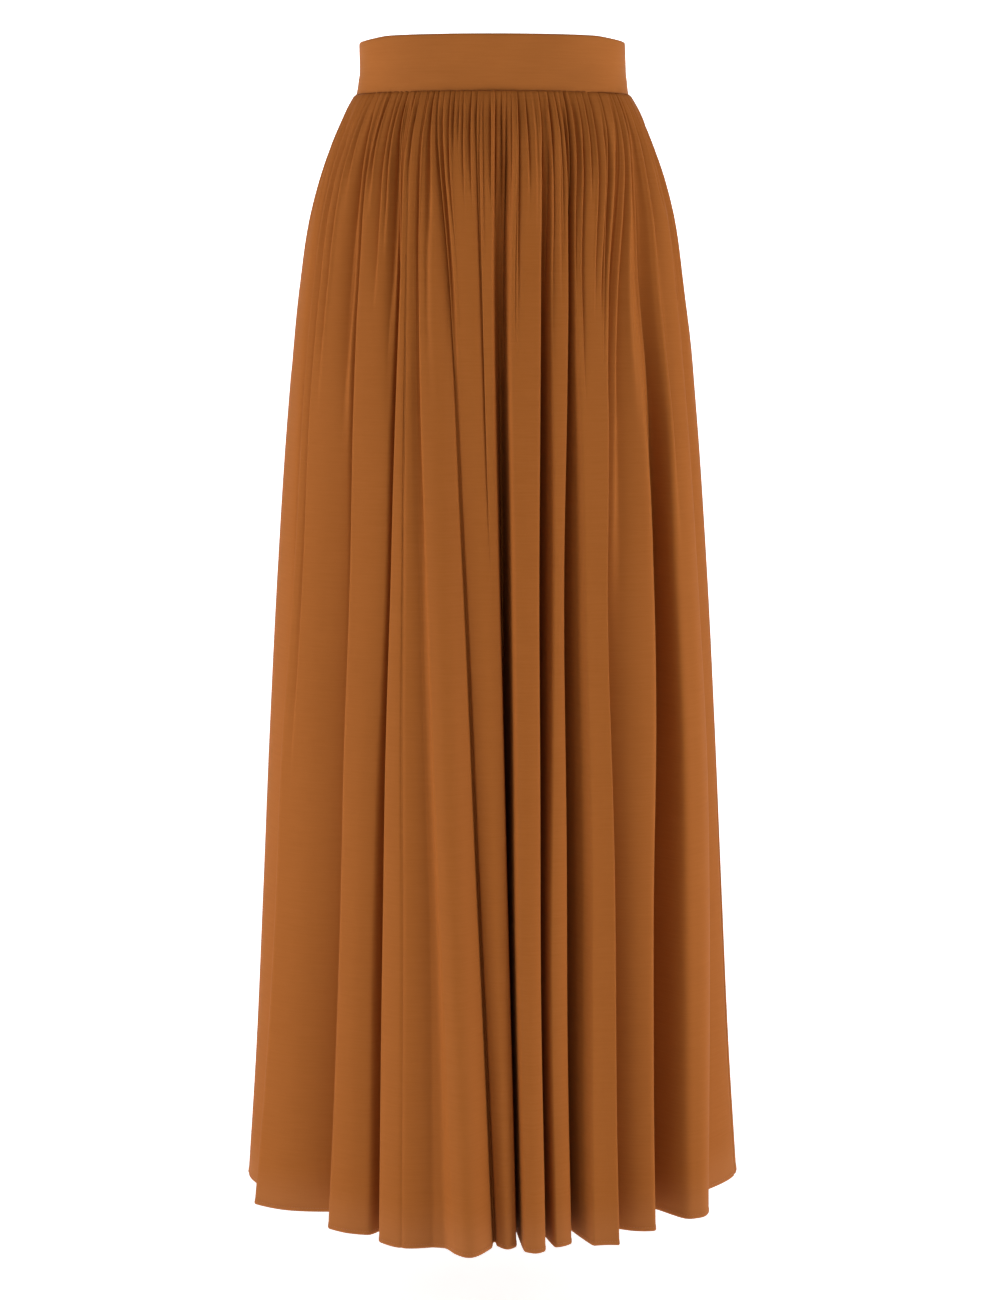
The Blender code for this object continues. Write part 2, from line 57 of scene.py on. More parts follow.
ENVELOPE = np.array((
    # below, half width, front depth, back depth, squareness
    (0, 126.0, 88.5, 88.5, 2.3),
    (12, 133.5, 94.0, 95.0, 2.3),
    (30, 142.5, 100.0, 102.0, 2.3),
    (62, 156.0, 106.0, 112.0, 2.3),
    (99, 167.5, 110.0, 120.0, 2.25),
    (172, 180.0, 116.0, 130.0, 2.2),
    (284, 192.0, 124.0, 138.0, 2.2),
    (438, 204.5, 135.0, 147.0, 2.1),
    (596, 214.5, 147.0, 155.0, 2.1),
    (758, 223.5, 160.0, 164.0, 2.0),
    (925, 233.0, 175.0, 177.0, 2.0),
    (1055, 242.5, 190.0, 190.0, 2.0),
))

BAND_OUTLINE = np.array((
    # height from the band's middle, half width, front and back depth
    (-25, 127.0, 89.5),
    (-15, 124.0, 88.0),
    (-5, 122.4, 87.2),
    (10, 122.0, 87.0),
    (25, 121.6, 86.8),
))
BAND_SQUARENESS = 2.3

FOLD_LEVELS = (0, 150, 400, 750, 1055)

FRONT_FOLDS = (
    # name, left edge, right edge (at the fold levels), crown stand-offs, valley on the left
    ("side_left", (-97, -98, -98, -98, -98), (-75, -76, -75, -75, -75), (0, -8, 12), 62),
    ("a", (-70, -72, -71, -70.5, -71), (-56, -57, -56, -56, -57), (-14, 4, 40), 40),
    ("b", (-53, -53.2, -52, -51.2, -49.6), (-42, -41, -40, -41, -37.5), (8, 8, 16), 66),
    ("c_wide", (-41, -38.5, -38, -37.1, -33.4), (-34, -33, -28.5, -21.5, -17.5), (7, -2, 10), 62),
    ("c_ridge", (-32, -30.5, -25, -17, -10.5), (-28, -20, -13, -5, -0.3), (0, -12, 14), 10),
    ("d", (-26.4, -18.4, -11.4, -3.4, 1.3), (0, 0, 2.3, 6.1, 7.2), (18, 8, 16), 26),
    ("e", (11, 8.3, 8.4, 8.7, 8.8), (22.5, 21, 18.5, 16.5, 15), (5, -2, 4), 106),
    ("f", (29, 26, 24.3, 19.9, 18), (34, 32.5, 28.4, 26.1, 23.8), (9, 9, 14), 98),
    ("g", (39, 35.5, 34.6, 32.4, 28.4), (59, 48.5, 42, 39, 35), (3, 1, -5), 94),
    ("h", (61, 52, 45, 42, 38), (65, 58.5, 58.2, 52.9, 48.2), (44, 14, 4), 58),
    ("i", (68, 67.5, 66, 64, 58), (74, 75.5, 76, 75, 65.5), (4, -6, -2), 62),
    ("side_right", (79, 81, 81, 80, 75), (98, 98, 98, 98, 98), (24, -6, -4), 60),
)

# Valleys that lean: degrees that their floor lies to the right of its middle, at the fold levels
LEANING_VALLEYS = {"i": (0, 2, 7, 9, 7)}

BACK_FOLDS = (
    # name, left edge, right edge (waist and hem), crown stand-offs, valley on the left
    ("k", (101, 101), (111, 111), (10, -2, 12), 64),
    ("l", (113, 113), (123, 124), (14, 4, 4), 80),
    ("m", (127, 127.5), (141, 140), (4, -6, 10), 74),
    ("n", (144, 143.5), (153, 152), (20, 10, 16), 58),
    ("o", (157, 156), (168, 168), (8, -4, 6), 88),
    ("centre_back", (171, 171.5), (190, 189), (12, 2, 12), 70),
    ("p", (193, 192), (204, 205), (6, -6, 8), 82),
    ("q", (208, 208.5), (217, 217), (18, 8, 12), 66),
    ("r", (220, 220), (234, 233.5), (8, -6, 4), 84),
    ("s", (237, 236.5), (246, 245.5), (16, 6, 10), 60),
    ("t", (249, 248), (259, 259), (10, -2, 14), 76),
)

PANELS = (
    # name, from fold, place, to fold, place, flat width at the waist, at the hem
    ("skirt_front_left", "side_left", "middle", "c_wide", "middle", 230.0, 470.0),
    ("skirt_front_centre", "c_wide", "middle", "g", "floor", 250.0, 620.0),
    ("skirt_front_right", "g", "floor", "side_right", "middle", 260.0, 570.0),
    ("skirt_back_right", "side_right", "middle", "centre_back", "middle", 400.0, 1015.0),
    ("skirt_back_left", "centre_back", "middle", "side_left", "middle", 400.0, 1015.0),
)
# A fold's places in order. Each shoulder of the crown counts twice, which makes it crisper.
PLACES = ("floor", "floor_right", "wall_left", "left", "left_again", "middle", "right_again",
          "right", "wall_right")

# ------------------------------------------------------------------ gathers
# Crests of the front gathers: the waist angle, how far down they run, and their height, which
# sets the drop beside the long ones
FRONT_GATHERS = (
    # angle, length, height
    (-93.0, 150, 2.6),
    (-89.0, 90, 2.4),
    (-85.5, 260, 3.2),
    (-82.0, 80, 2.4),
    (-78.5, 140, 3.0),
    (-74.8, 60, 2.2),
    (-70.4, 300, 3.6),
    (-66.5, 650, 3.4),
    (-62.6, 70, 2.4),
    (-59.4, 100, 2.8),
    (-56.0, 330, 3.6),
    (-53.4, 260, 3.0),
    (-51.0, 70, 2.4),
    (-47.4, 200, 3.6),
    (-44.9, 90, 2.6),
    (-41.9, 320, 3.6),
    (-38.8, 180, 2.4),
    (-35.3, 100, 2.8),
    (-32.0, 520, 3.2),
    (-29.4, 150, 3.0),
    (-27.4, 320, 2.6),
    (-24.7, 240, 3.4),
    (-21.9, 130, 2.8),
    (-19.0, 55, 2.4),
    (-16.4, 80, 2.4),
    (-13.8, 110, 3.0),
    (-9.6, 70, 2.8),
    (-5.7, 470, 4.0),
    (-2.6, 50, 2.0),
    (0.4, 300, 3.2),
    (3.1, 80, 2.6),
    (6.9, 320, 4.2),
    (9.6, 60, 2.2),
    (11.6, 260, 2.6),
    (16.0, 140, 2.8),
    (20.3, 80, 2.4),
    (23.2, 300, 2.8),
    (27.2, 320, 4.2),
    (31.2, 200, 2.8),
    (34.2, 60, 2.0),
    (36.4, 260, 2.8),
    (38.6, 240, 2.6),
    (41.2, 280, 3.4),
    (44.6, 60, 2.2),
    (47.7, 120, 3.0),
    (52.7, 210, 3.6),
    (57.8, 300, 3.0),
    (61.4, 520, 3.4),
    (63.8, 260, 3.0),
    (65.9, 320, 3.2),
    (68.6, 440, 3.4),
    (71.6, 120, 2.8),
    (74.6, 180, 3.0),
    (78.6, 520, 3.6),
    (82.4, 110, 2.6),
    (86.0, 240, 3.0),
    (90.0, 100, 2.4),
)
BACK_GATHER_SPACING = 3.9        # degrees between crests, on average
BACK_GATHER_SPREAD = (0.68, 1.3)         # the spacings, as shares of the average
BACK_GATHER_RANGE = (93.0, 266.0)
BACK_GATHER_LENGTHS = (70, 110, 180, 280, 420)
BACK_GATHER_SHARES = (0.28, 0.26, 0.2, 0.16, 0.1)        # how often each length comes up
BACK_GATHER_HEIGHTS = (2.3, 300, 0.6)    # least, mm of length for each mm more, uneven part
GATHER_SEED = 11
PLAIN_AT_ZIP = (5.0, 12.0)       # degrees from the centre back where the gathers start

# The sharp valleys between the crests
VALLEY_LAG = 0.45        # how far a valley outlasts the shorter crest beside it
MEAN_GAP = 3.3           # degrees
EITHER_WAY = 14.0        # degrees from the centre front within which pleats face either way
VALLEY_DEPTH = 2.1
VALLEY_FADE = 0.3        # where down its length a valley starts to get shallower
VALLEY_WALL = 0.7        # degrees that a valley's steep wall takes
VALLEY_SLOPE = (0.4, 1.0)        # of its long slope, just under the seam and at its end
VALLEY_WANDER = (0.25, 42.0, 2.1)        # degrees, mm a radian, radians a degree round
RIDGE_SHORTEST = 140     # crests longer than this run on down the cloth as sharp edges
RIDGE_WALL = 0.8
RIDGE_SLOPE = (1.1, 3.2)
RIDGE_DEPTH = 0.9        # of the drop beside a ridge, as a share of its height
RIDGE_FROM = (15.0, 80.0)        # where below the waist the ridges start
RIDGE_FADE = 0.45
EDGE_RISE = 1.1          # the thin crest where a pleat's wall turns over
EDGE_WIDTH = 0.45        # degrees

# All the gathers together, in mm or as shares
DEEPEST = 10.0           # mm that the gathers' valleys reach at most
SIDE_DEEPER = 3.8        # the gathers are deeper at the skirt's sides by this share
SIDE_UNLIFTED = 0.9      # and the cloth between them lies lower there by this share
OPENED_BELOW = 24.0      # the gathers have their full depth from here down
SEAM_SHARE = 0.34        # how much of the gathers' depth there is at the seam itself
RIDGE_LIFT = 0.012       # keeps the cloth's average in place, as a share of each ridge's drop
SEAM_LIFT = 1.5          # the cloth comes out of the seam level with the band's face
MEAN_LIFT = 0.9          # keeps the gathered cloth's average where the plain cloth would be
MEAN_LIFT_FADES = (20.0, 160.0)


def make_gathers():
    """All the gathers' crests: the front's as listed, and like ones across the back."""
    rng = np.random.default_rng(GATHER_SEED)
    rows = [list(row) for row in FRONT_GATHERS]
    least, length_share, more = BACK_GATHER_HEIGHTS
    angle = BACK_GATHER_RANGE[0]
    while angle < BACK_GATHER_RANGE[1]:
        length = float(rng.choice(BACK_GATHER_LENGTHS, p=BACK_GATHER_SHARES))
        rows.append([angle, length, least + length / length_share + rng.uniform(0, more)])
        angle += BACK_GATHER_SPACING * rng.uniform(*BACK_GATHER_SPREAD)
    for row in rows:
        row[0] %= 360.0
    return np.array(sorted(rows))


def wrapped(angle):
    """An angle between -180 and 180 degrees."""
    return (angle + 180.0) % 360.0 - 180.0


def smooth_step(low, high, value):
    """A smooth change from 0 at low to 1 at high."""
    part = np.clip((value - low) / (high - low), 0.0, 1.0)
    return part * part * (3 - 2 * part)


def pleat_table(crests):
    """The sharp valleys between neighbouring crests, uneven as hand gathers are.

    Each has its waist angle, its length, its depth and width as shares of the usual ones, and
    the way that its long slope faces from its line: away from the centre front, or near the
    centre either way.
    """
    after = np.roll(crests, -1, axis=0)
    gaps = (after[:, 0] - crests[:, 0]) % 360.0
    shorter = np.minimum(crests[:, 1], after[:, 1])
    longer = np.maximum(crests[:, 1], after[:, 1])
    count = np.arange(len(crests))

    def uneven(amount, turn, start=0.0):
        """A number for each pleat, up to amount either way, that changes from one to the next."""
        return amount * np.sin(turn * count + start)

    middles = crests[:, 0] + gaps * (0.5 + uneven(0.14, 2.4))
    deeper = 1 + uneven(0.36, 1.7, 0.9)
    wider = (1 + uneven(0.3, 2.9, 2.0)) * (gaps / MEAN_GAP) ** 0.5
    lengths = (shorter + VALLEY_LAG * (longer - shorter)) * (1 + uneven(0.3, 5.1))
    near = np.abs(wrapped(middles)) < EITHER_WAY
    ways = np.where(near, np.sign(uneven(1.0, 3.7, 0.5)), np.sign(wrapped(middles)))
    return np.column_stack((middles, lengths, deeper, wider, ways))


GATHERS = make_gathers()
VALLEYS = pleat_table(GATHERS)


def pleat(offset, way, wall, slope):
    """A pleat's valley: 1 at its line, with a short round wall and, the other way, a long slope."""
    out = offset * way
    return np.where(out < 0, np.clip(1 + out / wall, 0, 1) ** 2,
                    np.exp(-np.maximum(out, 0) / slope))


def pleat_edge(offset, way, wall):
    """The cloth bulges to a thin crest, 1 high, where a pleat's wall turns over."""
    return np.exp(-((offset * way + wall + EDGE_WIDTH / 2) / EDGE_WIDTH) ** 2)


def gather_reach(angle, below):
    """How far the gathers move the cloth out, for waist angles on one level."""
    opened = smooth_step(0.0, OPENED_BELOW, below)
    start = SEAM_SHARE + (1 - SEAM_SHARE) * opened
    middles, lengths, deeper, wider, ways = VALLEYS.T
    fall = np.clip(below / lengths, 0, 1)
    strength = deeper * (1 - smooth_step(VALLEY_FADE, 1.0, fall))
    slope = (VALLEY_SLOPE[0] + (VALLEY_SLOPE[1] - VALLEY_SLOPE[0]) * fall) * wider
    wander, rate, turn = VALLEY_WANDER
    wander = wander * np.sin(below / rate + turn * middles) * opened
    offset = wrapped(angle[:, None] - middles[None, :] - wander)
    sideways = np.sin(np.radians(angle)) ** 2
    sides = 1 + SIDE_DEEPER * sideways ** 2
    lifted = 1 - SIDE_UNLIFTED * sideways
    valleys = (strength * pleat(offset, ways, VALLEY_WALL, slope)).sum(1)
    edges = (strength * pleat_edge(offset, ways, VALLEY_WALL)).sum(1)
    reach = start * (MEAN_LIFT * lifted * (1 - smooth_step(*MEAN_LIFT_FADES, below))
                     - sides * VALLEY_DEPTH * valleys + EDGE_RISE * edges)
    reach += SEAM_LIFT * (1 - opened)

    crests, lengths, heights = GATHERS[GATHERS[:, 1] > RIDGE_SHORTEST].T
    fall = np.clip(below / lengths, 0, 1)
    slope = RIDGE_SLOPE[0] + (RIDGE_SLOPE[1] - RIDGE_SLOPE[0]) * fall
    depth = (RIDGE_DEPTH * heights * smooth_step(*RIDGE_FROM, below)
             * (1 - smooth_step(RIDGE_FADE, 1.0, fall)))
    ways = np.where(wrapped(crests) < 0, -1.0, 1.0)
    offset = wrapped(angle[:, None] - crests[None, :])
    # the drop lies on the side of the ridge that faces away from the centre front
    drop = pleat(offset - ways * RIDGE_WALL, ways, RIDGE_WALL, slope)
    reach += lifted * RIDGE_LIFT * depth.sum() - sides * (depth * drop).sum(1)
    reach = np.where(reach < 0, DEEPEST * np.tanh(reach / DEEPEST), reach)
    zip_share = smooth_step(*PLAIN_AT_ZIP, np.abs(wrapped(angle - 180.0)))
    return reach * zip_share


# ------------------------------------------------------------------ the folded section
def oval_radius(angle, half_width, depth, squareness):
    side = np.abs(np.sin(np.radians(angle))) / half_width
    front = np.abs(np.cos(np.radians(angle))) / depth
    return (side ** squareness + front ** squareness) ** (-1 / squareness)


def smooth_through(levels, values, below):
    """A value given at some levels, read along a smooth curve through them."""
    slopes = np.gradient(values, levels)
    k = int(np.clip(np.searchsorted(levels, below, side="right") - 1, 0, len(levels) - 2))
    step = levels[k + 1] - levels[k]
    t = (below - levels[k]) / step
    return ((1 + 2 * t) * (1 - t) ** 2 * values[k] + t * (1 - t) ** 2 * step * slopes[k]
            + t * t * (3 - 2 * t) * values[k + 1] + t * t * (t - 1) * step * slopes[k + 1])


def smooth_level(values, below):
    return smooth_through(np.array(FOLD_LEVELS, float), np.array(values, float), below)


def envelope_radius(angle, below):
    columns = [smooth_through(ENVELOPE[:, 0], ENVELOPE[:, k], below) for k in range(1, 5)]
    depth = np.where(np.cos(np.radians(angle)) > 0, columns[1], columns[2])
    return oval_radius(angle, columns[0], depth, columns[3])


def band_radius(angle, height):
    half_width, depth = (np.interp(height, BAND_OUTLINE[:, 0], BAND_OUTLINE[:, k]) for k in (1, 2))
    return oval_radius(angle, half_width, depth, BAND_SQUARENESS)


def all_folds():
    """Every big fold in order round the skirt, with edges at all the fold levels."""
    folds = list(FRONT_FOLDS)
    for name, left, right, crown, valley in BACK_FOLDS:
        shares = [level / SKIRT_LENGTH for level in FOLD_LEVELS]
        edges = [tuple(edge[0] * (1 - s) + edge[1] * s for s in shares) for edge in (left, right)]
        folds.append((name, edges[0], edges[1], crown, valley))
    return folds


FOLDS = all_folds()
FOLD_INDEX = {fold[0]: i for i, fold in enumerate(FOLDS)}
ROUND = len(FOLDS) * len(PLACES)

CRISP = 0.13             # how far along the crown each shoulder's second control point lies
SOFT_CROWNS = {"i": 0.5, "side_left": 0.4, "side_right": 0.4}    # the same, for softer folds
WALL_SHARE = 0.72        # a wall's least opening, as a share of the valley's at its edges
WALL_DEPTH = 0.36        # how far down a valley its wall's control point lies


def valley_lean(name, below):
    """How far the floor of the valley on a fold's left lies to the right of its middle."""
    return smooth_level(LEANING_VALLEYS[name], below) if name in LEANING_VALLEYS else 0.0


def wall_half(half, radius, wall_radius):
    """Half a valley's opening at its wall, in degrees: narrower inside, but never shut."""
    least = math.degrees(SLIT_HALF / wall_radius)
    return max(half * WALL_SHARE, min(least, half * radius / wall_radius))


def control_points(below):
    """The section's control points on one level, as rows of (angle, radius)."""
    grown = below / SKIRT_LENGTH
    points = []
    for i, (name, left, right, crown, valley) in enumerate(FOLDS):
        before, after = FOLDS[i - 1], FOLDS[(i + 1) % len(FOLDS)]
        edge_before = smooth_level(before[2], below) - (360.0 if i == 0 else 0.0)
        edge_left = smooth_level(left, below)
        edge_right = smooth_level(right, below)
        edge_after = smooth_level(after[1], below) + (360.0 if i == len(FOLDS) - 1 else 0.0)

        floor_angle = (edge_before + edge_left) / 2
        floor_radius = envelope_radius(floor_angle, below) - valley * grown
        middle = (edge_left + edge_right) / 2
        radii = [envelope_radius(angle, below) - stand * grown
                 for angle, stand in zip((edge_left, middle, edge_right), crown)]

        half_left = max((edge_left - edge_before) / 2, math.degrees(SLIT_HALF / radii[0]))
        edge_left = floor_angle + half_left
        next_floor = (edge_right + edge_after) / 2
        half_right = max((edge_after - edge_right) / 2, math.degrees(SLIT_HALF / radii[2]))
        edge_right = next_floor - half_right
        next_radius = envelope_radius(next_floor, below) - after[4] * grown

        floor_half = min(math.degrees(FLOOR_HALF / floor_radius), half_left * FLOOR_SHARE)
        wall_left = radii[0] + (floor_radius - radii[0]) * WALL_DEPTH
        wall_right = radii[2] + (next_radius - radii[2]) * WALL_DEPTH
        lean, next_lean = valley_lean(name, below), valley_lean(after[0], below)
        middle = (edge_left + edge_right) / 2
        again = SOFT_CROWNS.get(name, CRISP)
        left_again = edge_left + (middle - edge_left) * again
        right_again = edge_right + (middle - edge_right) * again
        points += [
            (floor_angle + lean - floor_half, floor_radius),
            (floor_angle + lean + floor_half, floor_radius),
            (floor_angle + lean * WALL_DEPTH + wall_half(half_left, radii[0], wall_left),
             wall_left),
            (edge_left, radii[0]),
            (left_again, radii[0] + (radii[1] - radii[0]) * again),
            (middle, radii[1]),
            (right_again, radii[2] + (radii[1] - radii[2]) * again),
            (edge_right, radii[2]),
            (next_floor + next_lean * WALL_DEPTH - wall_half(half_right, radii[2], wall_right),
             wall_right),
        ]
    return np.array(points)


def on_circle(angle, radius):
    turn = np.radians(angle)
    return np.stack((radius * np.sin(turn), -radius * np.cos(turn)), axis=-1)


def section(controls, places):
    """Points of the uniform cubic B-spline through the control points."""
    first = np.floor(places).astype(int)
    t = (places - first)[:, None]
    weights = ((1 - t) ** 3 / 6, (3 * t ** 3 - 6 * t ** 2 + 4) / 6,
               (-3 * t ** 3 + 3 * t ** 2 + 3 * t + 1) / 6, t ** 3 / 6)
    return sum(w * controls[(first - 1 + k) % len(controls)] for k, w in enumerate(weights))


WAIST_ANGLES = control_points(0.0)[:, 0]


def waist_angle(places):
    """The angle at the waist seam of places that are counted in control points."""
    turns = np.floor(places / ROUND)
    rest = places - turns * ROUND
    padded = np.append(WAIST_ANGLES, WAIST_ANGLES[0] + 360.0)
    return np.interp(rest, np.arange(ROUND + 1), padded) + 360.0 * turns


def place_of(fold, place):
    return FOLD_INDEX[fold] * len(PLACES) + PLACES.index(place)


# ------------------------------------------------------------------ cloth panels
ROW_BLOCKS = ((0.0, 3.0), (60.0, 6.0), (200.0, 14.0), (1006.0, 4.0))
HEM_ROWS = (1042.0, 1045.0, 1047.0, 1048.6, 1050.2, 1052.0, 1053.6, SKIRT_LENGTH)
FINEST_ANGLES = (0.3, 0.5)       # degrees between columns at the waist, front and back
FRONT_HALF = 98.0        # degrees that count as the front, from its centre
FINEST_ARC = 5.0         # mm between columns at the hem
SEAM_COLUMNS = (0.7, 1.5, 2.6, 4.2)      # mm from a seam, along the hem
CLOTH_THICKNESS = 0.8
# The folds' sway: rows of the turn in radians, mm a radian, waves round the skirt, phase
SWAY = ((0.0042, 155.0, 3, 0.0), (0.0026, 71.0, -5, 1.0))
SWAY_FROM = (120.0, 700.0)
SEAM_EDGE = 0.03         # a panel's edge from the seam line
TUCK_UP = 1.1            # the gathered edge goes up into the band's seam
TUCK_IN = 1.5
SEAM_DIP = 0.8           # the groove along a seam, which starts at SEAM_DIP_FROM below the waist
SEAM_DIP_WIDTH = 1.8
SEAM_DIP_FROM = (4.0, 40.0)
HEM_ROLL = 4.5           # height of the rolled hem
HEM_BLEND = (1.2, 1.0)   # the roll's upper edge, above and below its height
HEM_EDGE = 1.2           # the rounding at its lower edge
HEM_SWELL = 0.5
STITCH_ABOVE_HEM = 3.6
STITCH_PITCH = 2.6
STITCH_LENGTH = 1.9
STITCH_WIDTH = 0.28
STITCH_SIDES = 5
STITCH_SHOULDER = 0.28   # where a stitch is at its full width, as a share of its length
STITCH_RISE = 0.08       # of a stitch's middle out of the cloth
STITCH_END_SINK = 0.1
STITCH_FROM_SEAM = 1.5
STITCH_SINK = 0.25       # the dip of the hem along its stitches
STITCH_DIP_HALF = 0.8
UPRIGHT = np.array((0.0, 0.0, 1.0))


def level_list():
    """The levels of the cloth's rows: close at the waist seam and the hem."""
    levels = []
    for k, (start, step) in enumerate(ROW_BLOCKS):
        stop = ROW_BLOCKS[k + 1][0] if k + 1 < len(ROW_BLOCKS) else HEM_ROWS[0]
        count = max(1, round((stop - start) / step))
        levels += [start + (stop - start) * i / count for i in range(count)]
    return levels + list(HEM_ROWS)


LEVELS = level_list()


def drift(points, below):
    """Folds sway a little as they fall: a small turn round the axis that varies with height."""
    angle = np.arctan2(points[:, 0], -points[:, 1])
    waves = sum(turn * np.sin(below / rate + around * angle + phase)
                for turn, rate, around, phase in SWAY)
    turn = smooth_step(*SWAY_FROM, below) * waves
    cos, sin = np.cos(turn), np.sin(turn)
    return np.stack((points[:, 0] * cos - points[:, 1] * sin,
                     points[:, 0] * sin + points[:, 1] * cos), axis=-1)


def cloth_line(below, places):
    """The cloth's middle line on one level: folds, sway and gathers."""
    controls = on_circle(*control_points(below).T)
    points = drift(section(controls, places), below)
    out = points / np.linalg.norm(points, axis=1)[:, None]
    return points + out * gather_reach(waist_angle(places), below)[:, None]


def arc_lengths(line):
    """How far along a line each of its points lies."""
    steps = np.linalg.norm(np.diff(line, axis=0), axis=1)
    return np.concatenate(([0.0], np.cumsum(steps)))


def outward(line):
    """Unit vectors across a line, pointing out of the skirt."""
    along = np.gradient(line, axis=0)
    along /= np.linalg.norm(along, axis=1)[:, None]
    return np.stack((along[:, 1], -along[:, 0]), axis=-1)


def panel_columns(start, end):
    """Places of a panel's columns: fine where the gathers or the folds need it."""
    columns = []
    hem = on_circle(*control_points(SKIRT_LENGTH).T)
    for place in range(start, end):
        turned = waist_angle(np.array([place, place + 1.0]))
        arc = arc_lengths(section(hem, np.linspace(place, place + 1.0, 9)))[-1]
        finest = FINEST_ANGLES[0 if abs(wrapped(turned[0])) < FRONT_HALF else 1]
        count = max(3, math.ceil((turned[1] - turned[0]) / finest),
                    math.ceil(arc / FINEST_ARC))
        columns += [place + i / count for i in range(count)]
    columns = np.array(columns + [end], float)
    # a few more columns close to each seam, placed by their distance along the hem
    arcs = arc_lengths(section(hem, columns))
    extra = np.interp([*SEAM_COLUMNS, *(arcs[-1] - d for d in SEAM_COLUMNS)], arcs, columns)
    return np.unique(np.concatenate((columns, extra)))


def mesh_object(name, points, faces, uvs=None):
    """A smooth mesh object from mm points, faces and, for each point, a place on the flat cloth."""
    data = bpy.data.meshes.new(name)
    data.from_pydata([tuple(p) for p in np.asarray(points) * MM], [], faces)
    if uvs is not None:
        layer = data.uv_layers.new(name="cloth")
        corners = np.zeros(len(data.loops), np.int32)
        data.loops.foreach_get("vertex_index", corners)
        layer.data.foreach_set("uv", np.asarray(uvs, np.float32)[corners].ravel())
    data.shade_smooth()
    data.validate()
    made = bpy.data.objects.new(name, data)
    bpy.context.scene.collection.objects.link(made)
    return made


def append_mesh(points, faces, more_points, more_faces):
    """Add one more mesh's points and faces to lists of them."""
    faces += [tuple(len(points) + v for v in face) for face in more_faces]
    points += more_points


def grid_faces(rows, columns):
    """Quads of a grid of points, row by row from the top."""
    corners = [r * columns + c for r in range(rows - 1) for c in range(columns - 1)]
    return [(k, k + columns, k + columns + 1, k + 1) for k in corners]


def hem_relief(below):
    """The narrow rolled hem stands a little proud, with a dip along its stitches."""
    from_hem = SKIRT_LENGTH - below
    roll = smooth_step(HEM_ROLL + HEM_BLEND[0], HEM_ROLL - HEM_BLEND[1], from_hem)
    dip = math.exp(-((from_hem - STITCH_ABOVE_HEM) / STITCH_DIP_HALF) ** 2)
    edge = 1 - smooth_step(HEM_EDGE, 0.0, from_hem)
    return HEM_SWELL * roll * edge - STITCH_SINK * dip


def make_panel(name, start, end):
    """One cut panel as a thin shell, with its seam edges turned in and its rolled hem."""
    columns = panel_columns(start, end)
    points, uvs = [], []
    for below in LEVELS:
        line = cloth_line(below, columns)
        arcs = arc_lengths(line)
        out = outward(line)
        from_seam = np.minimum(arcs, arcs[-1] - arcs)
        dip = SEAM_DIP * np.exp(-(from_seam / SEAM_DIP_WIDTH) ** 2)
        dip = dip * smooth_step(*SEAM_DIP_FROM, below)
        line = line + out * (hem_relief(below) - dip)[:, None]
        for edge, inner in ((0, 1), (-1, -2)):
            inward = line[inner] - line[edge]
            line[edge] += inward / np.linalg.norm(inward) * SEAM_EDGE
        height = -BAND_HEIGHT / 2 - SEAM_GAP - below
        if below == 0.0:
            tucked = np.full(len(line), height + TUCK_UP)
            points.append(np.column_stack((line - out * TUCK_IN, tucked)))
            uvs.append(np.column_stack((arcs, np.full(len(line), TUCK_UP))) * MM)
        points.append(np.column_stack((line, np.full(len(line), height))))
        uvs.append(np.column_stack((arcs, np.full(len(line), -below))) * MM)
    shell = mesh_object(name + "_cloth", np.concatenate(points),
                        grid_faces(len(LEVELS) + 1, len(columns)), np.concatenate(uvs))
    thick = shell.modifiers.new("thickness", "SOLIDIFY")
    thick.thickness = CLOTH_THICKNESS * MM
    thick.offset = 0.0
    shell.data.materials.append(MATERIALS["cloth"])
    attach(shell, "skirt")
    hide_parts(name)
    stitches = make_hem_stitches(name, columns)


def thread_stitch(centre, along, out, up=UPRIGHT):
    """Points and faces of one stitch: a short thread with pointed ends, half sunk in the cloth."""
    points = [centre - along * STITCH_LENGTH / 2 - out * STITCH_END_SINK]
    for share in (-STITCH_SHOULDER, STITCH_SHOULDER):
        for k in range(STITCH_SIDES):
            turn = 2 * math.pi * k / STITCH_SIDES
            ring = (up * math.cos(turn) + out * math.sin(turn)) * STITCH_WIDTH / 2
            points.append(centre + along * STITCH_LENGTH * share + ring + out * STITCH_RISE)
    points.append(centre + along * STITCH_LENGTH / 2 - out * STITCH_END_SINK)
    last = 2 * STITCH_SIDES + 1
    faces = []
    for k in range(STITCH_SIDES):
        after = (k + 1) % STITCH_SIDES
        near, far = 1 + k, 1 + STITCH_SIDES + k
        near_after, far_after = 1 + after, 1 + STITCH_SIDES + after
        faces += [(0, near_after, near), (near, near_after, far_after, far),
                  (last, far, far_after)]
    return points, faces


